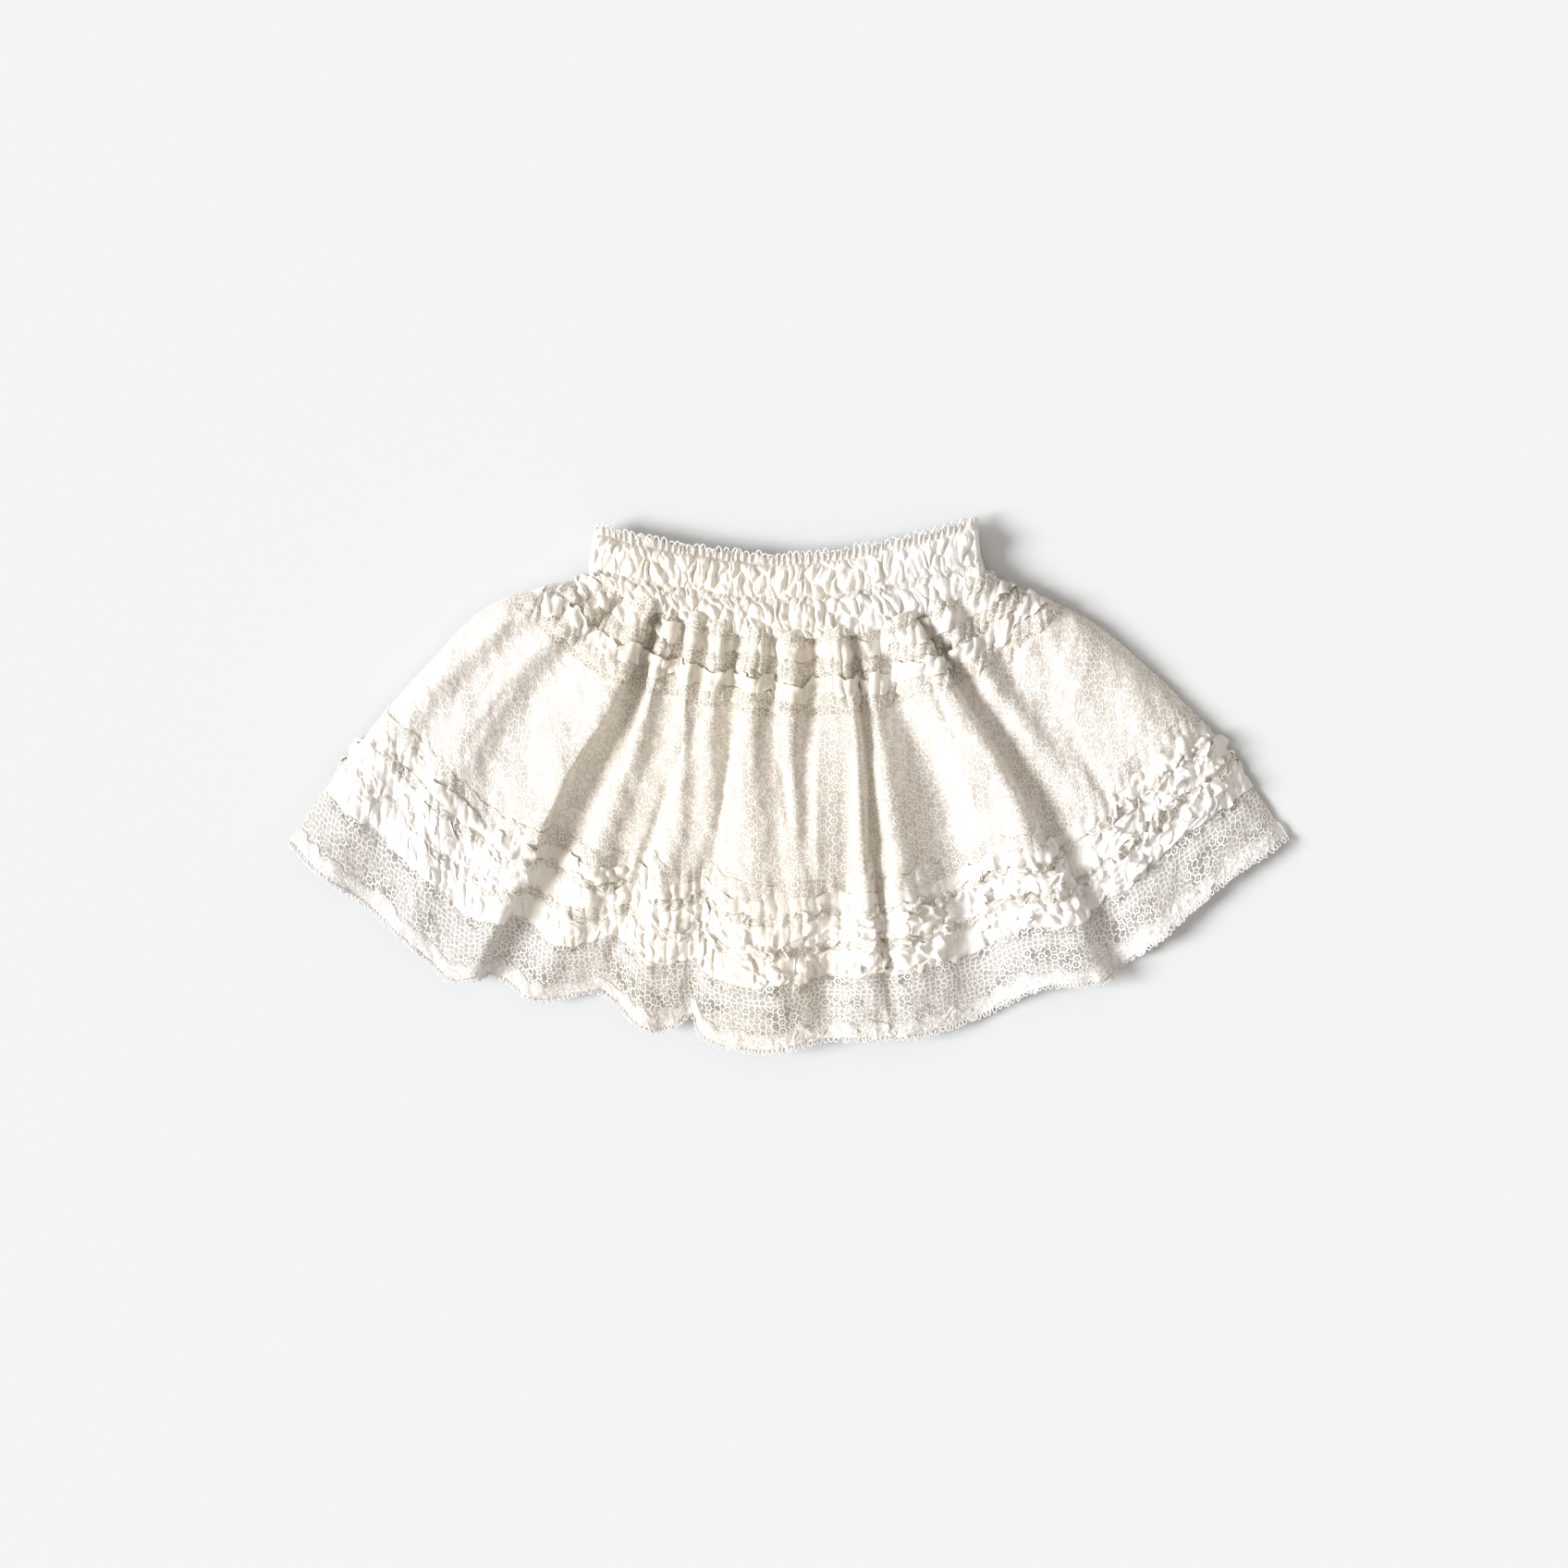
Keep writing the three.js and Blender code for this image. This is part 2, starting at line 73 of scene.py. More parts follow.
# One row for each line of the cloth from the waist to the hem: its angles from the fan's middle at
# ANGLE_STATIONS, its radius at the hem, and its heights at HEIGHT_STATIONS
FOLDS = np.array(
    [
        # side and left wing
        (-47.2, -54.1, -52.9, -50.7, -48.1, 347, 6, 2.6, 2.6, 2.6),
        (-44.6, -50.4, -50.2, -48.2, -43.8, 346.5, 12.5, 13, 12, 8),
        (-42.6, -47, -47.6, -45.4, -39.6, 343, 10.5, 9.5, 8, 4.5),
        (-41, -44, -43.2, -40.2, -35, 345.5, 14, 15, 15.5, 10),
        (-39.2, -40.6, -38.9, -36.1, -32.3, 347.5, 10, 9.5, 10.5, 9),
        # the big fold left of the middle, which stands over a deep hollow
        (-36.5, -35.6, -33.8, -31.7, -30.2, 349, 16.5, 17, 16.5, 11.5),
        (-33.8, -30.6, -30.4, -29.4, -28.9, 344, 19, 20, 19.5, 13),
        (-32.8, -29.4, -29.5, -28.7, -27.9, 338, 10, 9, 6.5, 4.5),
        (-31.4, -28, -27.3, -26.6, -25.8, 337, 8.5, 6, 4, 3.4),
        # three rolls
        (-29.2, -25.2, -24, -23.2, -23.4, 339.5, 18, 18, 16, 9),
        (-27.6, -23.4, -21.2, -20.6, -21.5, 334, 15, 14.5, 12, 7),
        (-25.7, -21.6, -18.6, -18.2, -18.2, 324, 12.5, 13.5, 13, 6.5),
        (-23.4, -19.2, -15.9, -15.4, -13.6, 335.5, 18, 18.5, 16.5, 11),
        (-21.2, -17.6, -14, -13.8, -12.2, 334, 13.5, 15, 14.5, 10),
        (-17.8, -15, -12.4, -12.3, -10.8, 329.5, 18, 18, 14.5, 8.5),
        (-14, -12, -10.4, -10.6, -9.7, 324, 10, 12, 12.5, 7),
        # the broad middle
        (-12, -10.4, -8.9, -9.2, -8.7, 333, 15.5, 16, 15, 9.5),
        (-9.3, -8.1, -5.6, -4.6, -4, 338, 19, 20, 18.5, 13),
        (-5.6, -4.7, -2.9, -2, -1.4, 336.5, 12, 14, 15.5, 12.5),
        (-2, -1.5, -0.6, -0.2, 0, 334.5, 18.5, 19, 17, 11.5),
        (2.4, 2.3, 1.9, 1.9, 2.4, 332, 10.5, 12.5, 13.5, 9),
        (7, 6.6, 5, 4.6, 4.6, 332.5, 18, 17.5, 16, 11.5),
        (9.4, 9, 7.6, 7, 6.3, 333, 17, 18, 17.5, 11.5),
        (11.6, 10.3, 8.9, 8.1, 7.5, 333.5, 9, 8, 6, 9),
        (14, 12.6, 11.5, 10.4, 9.6, 335, 11, 13, 15.5, 10.5),
        (17.6, 17, 17.6, 17.8, 17, 331.5, 9, 8, 5, 4.2),
        # the big fold right of the middle, the long valley beside it and the right wing
        (21, 21.4, 22.4, 22.6, 21.6, 328.5, 17.5, 17.5, 16.5, 11.5),
        (24.4, 26.2, 27, 27.1, 27, 338.5, 18, 19.5, 18.5, 13),
        (26.2, 27.9, 28.7, 28.8, 28.5, 335.5, 8.5, 6.5, 4.5, 3.4),
        (31, 31.9, 32.9, 33.6, 33, 334, 16.5, 16.5, 12.5, 10),
        (35.5, 35.4, 36.4, 37.2, 36.6, 331, 10, 9.5, 11, 8.5),
        (39.5, 41.5, 43, 42.3, 40.8, 330.5, 14.5, 15.5, 13.5, 9),
        (43, 48.1, 48.9, 47.8, 45.4, 335, 10.5, 11, 10, 6.5),
        (44.2, 50.1, 50.6, 49.4, 46.9, 336, 6, 2.6, 2.6, 2.6),
    ],
    float,
)
ANGLES, HEM_RADIUS, HEIGHTS = FOLDS[:, :5], FOLDS[:, 5], FOLDS[:, 6:]

# Soft troughs and ridges between the main folds: where each starts and ends in plan, how wide it is
# and how far it moves the cloth, in millimetres
CREASES = (
    # x0, y0, x1, y1, width, depth
    (12, -82, 20, -112, 9, -4.5),
    (20, -56, 26, -100, 8, -3),
    (14, 20, 14, -75, 5, 3),
    (30, 10, 29, -80, 6, -4),
    (-8, -84, -4, -118, 6, 2.5),
    (46, -90, 51, -130, 4, 3),
    (37, 45, 40, -25, 3, 1.8),
    (64, 30, 84, -46, 8, -2.6),
    (84, -50, 96, -96, 8, -3),
    (-54, 19, -89, -86, 2.4, -2.6),
    (-25, 51, -35, -20, 2.2, -2.2),
    (-4, 12, 0.5, -20, 1.8, -2),
    (11, 51, 9, -24, 3.2, -2.2),
    (-75, 40, -92, 2, 2.5, -1.6),
    (66, 62, 84, 24, 2.6, -2),
    (-140, 50, -165, 12, 3, -1.4),
    (140, 30, 168, -20, 3, -1.4),
    (-52, 18, -86, -92, 5, -0.8),
    (-120, 62, -160, -6, 8, -1.4),
    (-170, 40, -196, 8, 9, 1.6),
    (-205, -30, -182, -52, 7, -1.8),
    (50, 8, 58, -60, 6, 2),
    (72, 20, 88, -60, 7, -2.2),
    (42, -40, 46, -110, 4, 2.2),
    (104, 20, 128, -52, 7, 1.6),
    (150, 52, 176, 8, 10, -1.8),
    (176, 30, 214, -14, 9, 1.5),
    (120, 78, 136, 52, 6, -2.2),
    (-20, 40, -24, -20, 6, 1.5),
    (8, 60, 6, 0, 5, -1.5),
    (34, 30, 40, -60, 5, 1.5),
    (-104, 20, -136, -40, 7, -0.9),
)

# Lines of lace flowers down the folds: how far along the cloth from its middle, and half the width
FLOWER_LINES = ((20, 8), (50, 5), (78, 6), (-105, 5))

# The waist
WAIST_MIDDLE, WAIST_HALF, WAIST_FLARE = -1, 96.5, 5
WAIST_TOP, WAIST_RISE, WAIST_TILT = 110.7, 17.5, 1.5
CASING, HEADING = 18.5, 4.5
WAIST_BACK_TOP = 9
BACK_INSET = 1.5
FRONT_BASE = WAIST_BACK_TOP + SEAM_GAP
BACK_BASE = 2.0
PUFF_PITCH = 5.4
WAIST_DRAWN_UP = 1.6  # how much longer the waist's cloth is than the waist

# The bands of the front, as shares of the length from the waist seam to the hem
UPPER_FRILL = (-0.012, 0.03)
UPPER_RIBBONS = ((0.02, 0.065), (0.11, 0.155))
UPPER_EDGINGS = ((0.06, 0.1), (0.15, 0.186))
LOWER_FRILL = (0.605, 0.65)
LOWER_RIBBON = (0.64, 0.682)
RUCHED = ((0.694, 0.764), (0.774, 0.845))
RUCHED_LACE = ((0.672, 0.704), (0.748, 0.787))
HEM_EDGING = (0.958, 1.0)

# Where small gathers fade below the waist, and where they come and go round the ruched bands, in
# millimetres down the cloth, and how wide one is
WAIST_GATHERS = (20, 52)
BELT = ((114, 134), (172, 186))
GATHER_PITCH = 6.2

IVORY = (0.96, 0.95, 0.935, 1)
SATIN = (0.9, 0.89, 0.87, 1)
RIBBON = (0.83, 0.812, 0.775, 1)
WHITE_LACE = (0.93, 0.93, 0.93, 1)
# The cream of a painted warm glow, for the light that bounces in the deep folds of the skirt's middle.
GLOW_CREAM = (0.99, 0.955, 0.88)  # what takes the white threads to cream
# How much warmer the painted shade between the threads is.
PAINTED_SHADE_WARMTH = (0, 0.03, 0.09)  # how much less red, green and blue there is between warm threads
SEEN_THROUGH = (0.97, 0.87, 0.72, 1)  # the light that comes through the cloth

# How much light goes through each cloth, and how far its threads stand up, in metres
LACE_THROUGH, LACE_RELIEF = 0.16, 0.00016
SATIN_THROUGH, SATIN_RELIEF = 0.08, 0.00018
THREAD_THROUGH, THREAD_RELIEF = 0.15, 0.00005
LOOP_TURNS, LOOP_SIDES = 12, 4


# Noise


def hashed(ix, iy, seed):
    """A number from 0 to 1 for each pair of whole numbers, which looks random but is always the same."""
    n = (ix.astype(np.int64) * 374761393 + iy.astype(np.int64) * 668265263 + seed * 974711) % 2**32
    n = (n ^ (n >> 13)) * 1274126177 % 2**32
    return ((n ^ (n >> 16)) % 2**24) / 2**24


def noise(x, y, seed):
    """Smooth noise from -1 to 1, with a feature every unit of x and y."""
    x, y = np.broadcast_arrays(np.asarray(x, float), np.asarray(y, float))
    ix, iy = np.floor(x), np.floor(y)
    fx, fy = x - ix, y - iy
    wx, wy = (f * f * f * (f * (6 * f - 15) + 10) for f in (fx, fy))
    low = hashed(ix, iy, seed) * (1 - wx) + hashed(ix + 1, iy, seed) * wx
    high = hashed(ix, iy + 1, seed) * (1 - wx) + hashed(ix + 1, iy + 1, seed) * wx
    return 2 * (low * (1 - wy) + high * wy) - 1


def smooth(low, high, x):
    t = np.clip((x - low) / (high - low), 0, 1)
    return t * t * (3 - 2 * t)


def cells(x, y, seed):
    """Uneven cells, one for every unit of x and y: how far each point is inside its cell's rim, and
    a number from 0 to 1 that the whole cell shares."""
    ix, iy = np.floor(x), np.floor(y)
    first = np.full(x.shape, 9.0)
    second = np.full(x.shape, 9.0)
    own = np.zeros(x.shape)
    for dx in (-1, 0, 1):
        for dy in (-1, 0, 1):
            cx, cy = ix + dx, iy + dy
            far = np.hypot(cx + hashed(cx, cy, seed) - x, cy + hashed(cx, cy, seed + 1) - y)
            own = np.where(far < first, hashed(cx, cy, seed + 2), own)
            second = np.minimum(second, np.maximum(far, first))
            first = np.minimum(first, far)
    return second - first, own


# The front's form


def hermite(a, b, slope_a, slope_b, t):
    t2, t3 = t * t, t * t * t
    ends = a * (2 * t3 - 3 * t2 + 1) + b * (3 * t2 - 2 * t3)
    return ends + slope_a * (t3 - 2 * t2 + t) + slope_b * (t3 - t2)


def mid_slope(before, here, after, first, second):
    return ((here - before) / first * second + (after - here) / second * first) / (first + second)


def along(places, values, at):
    """Each row of values as a smooth curve through places, at every share in at."""
    widths = np.diff(places)
    chords = np.diff(values, axis=1) / widths
    inner = mid_slope(values[:, :-2], values[:, 1:-1], values[:, 2:], widths[:-1], widths[1:])
    slopes = np.concatenate([chords[:, :1], inner, chords[:, -1:]], axis=1)
    i = np.clip(np.searchsorted(places, at, side="left") - 1, 0, len(widths) - 1)
    t = (at - places[i]) / widths[i]
    at_start, at_end = slopes[:, i] * widths[i], slopes[:, i + 1] * widths[i]
    return hermite(values[:, i], values[:, i + 1], at_start, at_end, t)


def seam_radius(angle):
    rise = np.where(angle < 0, SEAM_RISE[0], SEAM_RISE[1])
    return SEAM_RADIUS + rise * (angle / FAN_HALF_ANGLE) ** 2


def fan_point(angle, radius, height):
    a = np.radians(angle)
    return np.stack([FAN_X + radius * np.sin(a), FAN_Y - radius * np.cos(a), height], axis=-1)


def plain_front(lines, shares):
    """The front without its small creases, on a grid of shares down and fold lines across."""
    start = seam_radius(ANGLES[:, 0])
    fields = (
        along(ANGLE_STATIONS, ANGLES, shares),
        start[:, None] + shares * (HEM_RADIUS - start)[:, None],
        along(HEIGHT_STATIONS, HEIGHTS, shares),
    )
    index = np.clip(np.floor(lines).astype(int), 0, len(FOLDS) - 2)
    part = (lines - index)[:, None]
    near = [np.clip(index + k, 0, len(FOLDS) - 1) for k in (-1, 0, 1, 2)]
    angle, radius, height = ([f[k] for k in near] for f in fields)
    arc = np.radians(radius[1])
    spans = [
        np.sqrt(np.maximum(1, np.hypot((angle[k + 1] - angle[k]) * arc, height[k + 1] - height[k])))
        for k in range(3)
    ]
    mixed = []
    for p, a, b, q in (angle, radius, height):
        at_a = mid_slope(p, a, b, spans[0], spans[1]) * spans[1]
        at_b = mid_slope(a, b, q, spans[1], spans[2]) * spans[1]
        mixed.append(hermite(a, b, at_a, at_b, part).T)
    return fan_point(mixed[0], mixed[1], np.maximum(LOWEST, mixed[2]))


def normals(points):
    across, down = np.gradient(points, axis=1), np.gradient(points, axis=0)
    n = np.cross(down, across)
    return n / np.linalg.norm(n, axis=-1, keepdims=True)


def cloth_lengths(points):
    """How far each point lies from the middle column, along its row of the cloth."""
    steps = np.linalg.norm(np.diff(points, axis=1), axis=-1)
    run = np.concatenate([np.zeros((len(points), 1)), np.cumsum(steps, axis=1)], axis=1)
    middle = np.argmin(np.abs(points[:, :, 0] - FAN_X), axis=1)
    return run - run[np.arange(len(run)), middle][:, None]


def even_lines(count):
    """Fold lines, as fractions of the table's rows, that are evenly spaced on the cloth."""
    fine = np.linspace(0, len(FOLDS) - 1, 3000)
    runs = plain_front(fine, np.array([0.1, 0.5, 0.9]))
    steps = np.linalg.norm(np.diff(runs, axis=1), axis=-1)
    run = np.concatenate([[0], np.cumsum((steps / steps.sum(axis=1, keepdims=True)).mean(axis=0))])
    return np.interp(np.linspace(0, 1, count), run, fine)


def creases(points, u, v):
    """How far the cloth's small creases and gathers move it, in millimetres."""
    x, y = points[..., 0], points[..., 1]
    height = points[..., 2]
    moved = 0.9 * noise(u / 24, v / 34, 1) + 0.6 * noise((u + 0.3 * v) / 9, v / 17, 2)
    moved += 0.35 * noise((u - 0.4 * v) / 6, v / 9, 7) + 0.16 * noise(u / 3.6, v / 4.2, 3)
    for x0, y0, x1, y1, width, depth in CREASES:
        dx, dy = x1 - x0, y1 - y0
        t = np.clip(((x - x0) * dx + (y - y0) * dy) / (dx * dx + dy * dy), 0, 1)
        far = np.hypot(x - x0 - t * dx, y - y0 - t * dy)
        fading = 0.4 + 0.6 * np.sin(np.pi * np.clip(t, 0.08, 0.92))
        moved += depth * np.exp(-((far / width) ** 2)) * fading
    gather = np.abs(np.sin(np.pi * (u / GATHER_PITCH + 0.5 * noise(u / 13, v / 24, 4))))
    moved += (1.1 * (gather - 0.5) + 1.1 * noise(u / 6.5, v / 6, 8)) * (1 - smooth(*WAIST_GATHERS, v))
    belt = smooth(*BELT[0], v) * (1 - smooth(*BELT[1], v))
    moved += (0.6 * (gather - 0.5) + 1.1 * noise(u / 8, v / 8, 6)) * belt
    return moved * smooth(LOWEST, LOWEST + 5, height)


def front(count, shares, lift=0.0):
    """The front as it lies, as points, normals, and its two lengths of cloth: across and down."""
    points = plain_front(even_lines(count), shares)
    v = np.broadcast_to((shares * SKIRT_LENGTH)[:, None], points.shape[:2])
    u = cloth_lengths(points)
    points = points + normals(points) * (creases(points, u, v) + lift)[..., None]
    points[..., 2] = np.maximum(points[..., 2], LOWEST)
    return points, normals(points), u, v


# Meshes


def mesh_piece(name, points, faces, uv, material, replaces):
    mesh = bpy.data.meshes.new(name)
    mesh.vertices.add(len(points))
    mesh.vertices.foreach_set("co", (points * MM).astype(np.float32).ravel())
    sides = faces.shape[1]
    mesh.loops.add(faces.size)
    mesh.loops.foreach_set("vertex_index", faces.astype(np.int32).ravel())
    mesh.polygons.add(len(faces))
    mesh.polygons.foreach_set("loop_start", np.arange(0, faces.size, sides, dtype=np.int32))
    mesh.polygons.foreach_set("use_smooth", np.ones(len(faces), bool))
    mesh.update(calc_edges=True)
    if uv is not None:
        layer = mesh.uv_layers.new(name="Cloth")
        layer.uv.foreach_set("vector", (uv * MM)[faces.ravel()].astype(np.float32).ravel())
    mesh.materials.append(material)
    piece = bpy.data.objects.new(name, mesh)
    bpy.context.collection.objects.link(piece)
    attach(piece, "root")
    if replaces:
        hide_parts(*replaces)


def grid_faces(rows, columns):
    i = np.arange(rows * columns).reshape(rows, columns)
    return np.stack([i[:-1, :-1], i[1:, :-1], i[1:, 1:], i[:-1, 1:]], axis=-1).reshape(-1, 4)


def sheet_piece(name, points, u, v, material, slot, replaces=()):
    uv = np.stack([u, v], axis=-1).reshape(-1, 2)
    faces = grid_faces(*points.shape[:2])
    mesh_piece(name, points.reshape(-1, 3), faces, uv, material, replaces)


def loops_piece(name, centres, along_edge, outward, up, size, thread, material):
    """Small loops of thread along an edge, as one mesh. Each stands on its centre, size long."""
    a = np.linspace(-0.15 * np.pi, 1.15 * np.pi, LOOP_TURNS)
    ring = np.linspace(0, 2 * np.pi, LOOP_SIDES, endpoint=False)
    width, length = size
    path = (
        centres[:, None]
        + along_edge[:, None] * (np.cos(a) * width)[None, :, None]
        + outward[:, None] * (np.sin(a)[None, :, None] * length[:, None, None])
        + up[:, None] * (np.sin(a) ** 2)[None, :, None] * 0.5
    )
    flow = np.gradient(path, axis=1)
    flow /= np.linalg.norm(flow, axis=-1, keepdims=True)
    side = np.cross(flow, up[:, None])
    side /= np.linalg.norm(side, axis=-1, keepdims=True)
    top = np.cross(side, flow)
    round_way = side[:, :, None] * np.cos(ring)[:, None] + top[:, :, None] * np.sin(ring)[:, None]
    points = path[:, :, None] + thread * round_way
    index = np.arange(points[..., 0].size).reshape(points.shape[:3])
    turned = np.roll(index, -1, axis=2)
    sides = [index[:, :-1], turned[:, :-1], turned[:, 1:], index[:, 1:]]
    faces = np.stack(sides, axis=-1).reshape(-1, 4)
    ends = np.concatenate([index[:, 0, ::-1], index[:, -1]])
    faces = np.concatenate([faces, ends])
    mesh_piece(name, points.reshape(-1, 3), faces, None, material, ())


# Materials


class Nodes:
    """Short names for the nodes of one material."""

    def __init__(self, name):
        self.material = bpy.data.materials.new(name)
        self.material.use_nodes = True
        self.tree = self.material.node_tree
        self.tree.nodes.clear()

    def add(self, kind, inputs=None, **settings):
        node = self.tree.nodes.new(kind)
        for key, value in settings.items():
            setattr(node, key, value)
        for key, value in (inputs or {}).items():
            self.set(node.inputs[key], value)
        return node

    def set(self, socket, value):
        if isinstance(value, bpy.types.NodeSocket):
            self.tree.links.new(value, socket)
        else:
            socket.default_value = value

    def math(self, operation, a, b=0.0):
        return self.add("ShaderNodeMath", {0: a, 1: b}, operation=operation).outputs[0]

    def apart(self, a, b):
        return self.math("ABSOLUTE", self.math("SUBTRACT", a, b))

    def swing(self, value, size):
        """A value from 0 to 1 as a swing to both sides of 0."""
        return self.math("MULTIPLY", self.math("SUBTRACT", value, 0.5), size)

    def step(self, value, low, high):
        inputs = {"Value": value, "From Min": low, "From Max": high}
        return self.add("ShaderNodeMapRange", inputs, interpolation_type="SMOOTHSTEP").outputs[0]

    def mix(self, factor, a, b):
        return self.add("ShaderNodeMix", {"Factor": factor, 2: a, 3: b}).outputs[0]

    def place(self, u, v, width, height):
        """Where a point is in a pattern whose unit is width by height, in millimetres."""
        x = self.math("DIVIDE", u, width)
        y = self.math("DIVIDE", v, height)
        return self.add("ShaderNodeCombineXYZ", {"X": x, "Y": y}).outputs[0]

    def noise(self, u, v, width, height, detail=2.0, rough=0.5):
        at = self.place(u, v, width, height)
        inputs = {"Vector": at, "Scale": 1.0, "Detail": detail, "Roughness": rough}
        return self.add("ShaderNodeTexNoise", inputs, noise_dimensions="2D").outputs["Fac"]

    def colour_mix(self, factor, a, b):
        node = self.add("ShaderNodeMix", {"Factor": factor}, data_type="RGBA")
        self.set(node.inputs[6], a)
        self.set(node.inputs[7], b)
        return node.outputs[2]


def cloth_place(n):
    """The two lengths of cloth at a point, in millimetres."""
    uv = n.add("ShaderNodeUVMap", uv_map="Cloth").outputs[0]
    split = n.add("ShaderNodeSeparateXYZ", {0: uv})
    return n.math("MULTIPLY", split.outputs[0], 1000.0), n.math("MULTIPLY", split.outputs[1], 1000.0)


def rosettes(n, u, v, pitch):
    """Lace flowers: a thin ring of thread round a dot, with spokes to the next flowers. Gives how
    much thread there is at a point, from 0 to 1."""
    at = n.place(u, v, pitch, pitch * 0.92)
    inputs = {"Vector": at, "Scale": 1.0, "Randomness": 0.5}
    near = n.add("ShaderNodeTexVoronoi", inputs, voronoi_dimensions="2D")
    far = near.outputs["Distance"]
    ends = {0: at, 1: near.outputs["Position"]}
    from_centre = n.add("ShaderNodeVectorMath", ends, operation="SUBTRACT")
    split = n.add("ShaderNodeSeparateXYZ", {0: from_centre.outputs[0]})
    turn = n.math("ARCTAN2", split.outputs[1], split.outputs[0])
    petal = n.math("COSINE", n.math("MULTIPLY", turn, 6.0))
    reach = n.math("ADD", n.math("MULTIPLY", petal, 0.03), 0.33)
    ring = n.step(n.apart(far, reach), 0.12, 0.04)
    dot = n.step(far, 0.14, 0.05)
    spoke = n.math("MULTIPLY", n.step(petal, 0.6, 0.95), n.math("GREATER_THAN", far, 0.3))
    return n.math("MAXIMUM", n.math("MAXIMUM", ring, spoke), dot)


def squiggles(n, u, v):
    """Dense thread work in short curls: how much thread there is."""
    bend = n.noise(u, v, 4.6, 3.4, rough=0.6)
    curls = n.math("FRACT", n.math("MULTIPLY", bend, 3.8))
    return n.step(n.apart(curls, 0.5), 0.08, 0.36)


def net(n, u, v):
    """Fine net: how much thread there is."""
    inputs = {"Vector": n.place(u, v, 2.9, 2.4), "Scale": 1.0, "Randomness": 0.6}
    settings = {"voronoi_dimensions": "2D", "feature": "DISTANCE_TO_EDGE"}
    from_edge = n.add("ShaderNodeTexVoronoi", inputs, **settings).outputs["Distance"]
    return n.step(from_edge, 0.22, 0.05)


def finish_cloth(n, colour, raised, hole, through, rough, sheen, relief):
    """The cloth's shader. relief is how far its threads stand up, in metres."""
    normal = n.add("ShaderNodeBump", {"Height": raised, "Strength": 1.0, "Distance": relief}).outputs[0]
    surface = n.add(
        "ShaderNodeBsdfPrincipled",
        {
            "Base Color": colour,
            "Roughness": rough,
            "Normal": normal,
            "Sheen Weight": sheen,
            "Sheen Roughness": 0.4,
            "Specular IOR Level": 0.25,
        },
    ).outputs[0]
    shine = n.add("ShaderNodeBsdfTranslucent", {"Color": SEEN_THROUGH, "Normal": normal}).outputs[0]
    cloth = n.add("ShaderNodeMixShader", {0: through, 1: surface, 2: shine}).outputs[0]
    if hole is not None:
        gap = n.add("ShaderNodeBsdfTransparent").outputs[0]
        cloth = n.add("ShaderNodeMixShader", {0: hole, 1: cloth, 2: gap}).outputs[0]
    n.tree.links.new(cloth, n.add("ShaderNodeOutputMaterial").inputs[0])
    return n.material


def tinted(colour, factors):
    return tuple(c * f for c, f in zip(colour[:3], factors)) + (1,)


def shade_of(colour, darker, warm):
    """The painted shade between the threads: the colour made darker by darker and, by warm, warmer."""
    return tinted(colour, [1 - darker - less * warm for less in PAINTED_SHADE_WARMTH])


def toned_with_painted_glow(n, u, v, colour):
    """The colour of the threads, with a random tone, and creamier in the middle of the skirt than at its
    sides: a painted warm glow for the light that bounces in the middle's deep folds.
    """
    tone = n.noise(u, v, 45.0, 60.0)
    middle = n.step(n.apart(u, -45.0), 160.0, 50.0)
    factor = n.math("MULTIPLY", middle, n.math("ADD", tone, 0.35))
    return n.colour_mix(factor, colour, tinted(colour, GLOW_CREAM))


def lace(name, colour, zone, pitch=5.6, ground=squiggles, gaps=0.28, opening=0.3, warm=1.0):
    """Lace. Its zone, from nodes, goes from 0 in the dense ground to 1 among flowers, which lie pitch
    apart. gaps is how much darker the painted shade between the threads is, opening how much is
    seen through between a flower's threads, and warm how cream that painted shade is. The threads
    take the painted warm glow of the skirt's middle."""
    n = Nodes(name)
    u, v = cloth_place(n)
    flowers = zone(n, u, v)
    dense = ground(n, u, v)
    open_thread = rosettes(n, u, v, pitch)
    gap = n.math("MULTIPLY", n.math("SUBTRACT", 1.0, open_thread), flowers)
    thread = n.mix(flowers, dense, open_thread)
    # Painted shade between the threads, and the threads tinted with the painted warm glow of the middle.
    base = n.colour_mix(thread, shade_of(colour, gaps, warm), toned_with_painted_glow(n, u, v, colour))
    seen_through = n.math("MULTIPLY", gap, opening)
    return finish_cloth(n, base, thread, seen_through, LACE_THROUGH, 0.85, 0.1, LACE_RELIEF)


def trellis(n, u, v):
    """Flowers in long uneven patches that fade in and out, over most of the skirt."""
    wander = n.noise(u, v, 19.0, 60.0)
    fine = n.noise(u, v, 9.0, 11.0)
    place = n.math("ADD", wander, n.swing(fine, 0.3))
    to_right = n.math("MULTIPLY", n.step(u, -120.0, 60.0), 0.08)
    patches = n.step(n.math("ADD", place, to_right), 0.56, 0.66)
    ragged = n.swing(fine, 14.0)
    for middle, half in FLOWER_LINES:
        line = n.step(n.math("ADD", n.apart(u, middle), ragged), half + 2.0, half - 2.0)
        patches = n.math("MAXIMUM", patches, line)
    return patches


def rows_of(*spans, patches=0.0):
    """A zone with flowers between pairs of lengths down the cloth, in millimetres. patches is how
    much the rows fade in and out."""

    def zone(n, u, v):
        place = n.math("ADD", v, n.swing(n.noise(u, v, 4.0, 9.0), 2.4))
        inside = None
        for low, high in spans:
            middle, half = (low + high) / 2, (high - low) / 2
            row = n.step(n.apart(place, middle), half + 0.9, half - 0.9)
            inside = row if inside is None else n.math("MAXIMUM", inside, row)
        fade = n.step(n.noise(u, v, 24.0, 20.0), 0.4, 0.6)
        return n.math("MULTIPLY", inside, n.mix(patches, 1.0, fade))

    return zone


